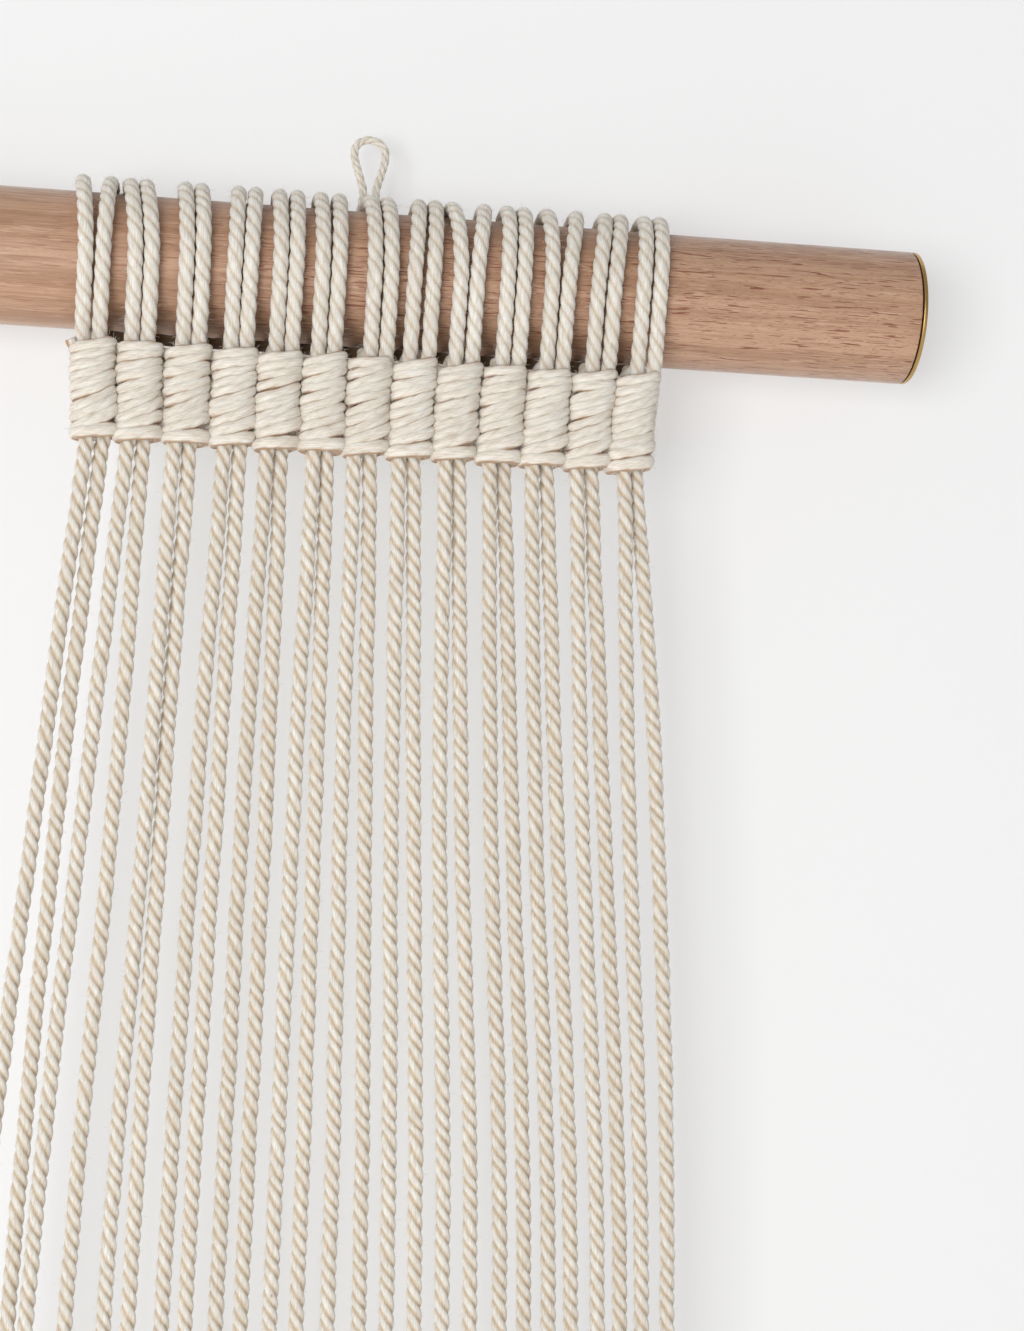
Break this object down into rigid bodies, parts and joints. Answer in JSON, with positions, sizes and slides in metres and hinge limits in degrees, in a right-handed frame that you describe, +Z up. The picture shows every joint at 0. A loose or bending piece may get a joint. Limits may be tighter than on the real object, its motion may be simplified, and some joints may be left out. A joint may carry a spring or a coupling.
{
  "type": "tapestry wall hanging",
  "caption": "Beech dowel hung from a string loop, with a band of knotted cotton cords folded over it and a long straight fringe of twisted cords.",
  "frame": {"origin": "the point on the nail where the string loop rests, at the inside of the loop's top", "axes": "+Z up, -Y out of the wall towards the viewer, +Y into the wall, +X along the dowel to the viewer's right"},
  "size_m": [0.2676, 0.0392, 0.5838],
  "materials": {
    "beech": "sanded, unvarnished beech",
    "brass": "thin satin brass",
    "cotton_cord": "undyed three-ply twisted cotton",
    "knot_cord": "undyed twisted cotton, pulled flat in tight wraps",
    "hanger_string": "thin twisted cotton string"
  },
  "bodies": {
    "hanger": {"hanger_loop": "hanger_string"},
    "band": {"cord_loop_01": "cotton_cord", "cord_loop_02": "cotton_cord", "cord_loop_03": "cotton_cord", "cord_loop_04": "cotton_cord", "cord_loop_05": "cotton_cord", "cord_loop_06": "cotton_cord", "cord_loop_07": "cotton_cord", "cord_loop_08": "cotton_cord", "cord_loop_09": "cotton_cord", "cord_loop_10": "cotton_cord", "cord_loop_11": "cotton_cord", "cord_loop_12": "cotton_cord", "cord_loop_13": "cotton_cord", "knot_01": "knot_cord", "knot_02": "knot_cord", "knot_03": "knot_cord", "knot_04": "knot_cord", "knot_05": "knot_cord", "knot_06": "knot_cord", "knot_07": "knot_cord", "knot_08": "knot_cord", "knot_09": "knot_cord", "knot_10": "knot_cord", "knot_11": "knot_cord", "knot_12": "knot_cord", "knot_13": "knot_cord"},
    "dowel": {"dowel": "beech", "end_disc_left": "brass", "end_disc_right": "brass"},
    "fringe": {"hanging_cord_01": "cotton_cord", "hanging_cord_02": "cotton_cord", "hanging_cord_03": "cotton_cord", "hanging_cord_04": "cotton_cord", "hanging_cord_05": "cotton_cord", "hanging_cord_06": "cotton_cord", "hanging_cord_07": "cotton_cord", "hanging_cord_08": "cotton_cord", "hanging_cord_09": "cotton_cord", "hanging_cord_10": "cotton_cord", "hanging_cord_11": "cotton_cord", "hanging_cord_12": "cotton_cord", "hanging_cord_13": "cotton_cord", "hanging_cord_14": "cotton_cord", "hanging_cord_15": "cotton_cord", "hanging_cord_16": "cotton_cord", "hanging_cord_17": "cotton_cord", "hanging_cord_18": "cotton_cord", "hanging_cord_19": "cotton_cord", "hanging_cord_20": "cotton_cord", "hanging_cord_21": "cotton_cord", "hanging_cord_22": "cotton_cord", "hanging_cord_23": "cotton_cord", "hanging_cord_24": "cotton_cord", "hanging_cord_25": "cotton_cord", "hanging_cord_26": "cotton_cord"}
  },
  "joints": [
    {"name": "hanging_swing", "type": "hinge", "parent": "hanger", "child": "band", "pos_m": [0.0002, -0.00673, -0.02141], "axis": [-1, 0, 0], "range_deg": [0, 30]},
    {"name": "dowel_slide", "type": "slide", "parent": "band", "child": "dowel", "axis": [1, 0, 0], "range_m": [-0.06, 0.06]},
    {"name": "fringe_swing", "type": "hinge", "parent": "band", "child": "fringe", "pos_m": [0, -0.02985, -0.0821], "axis": [-1, 0, 0], "range_deg": [-2, 60]}
  ]
}
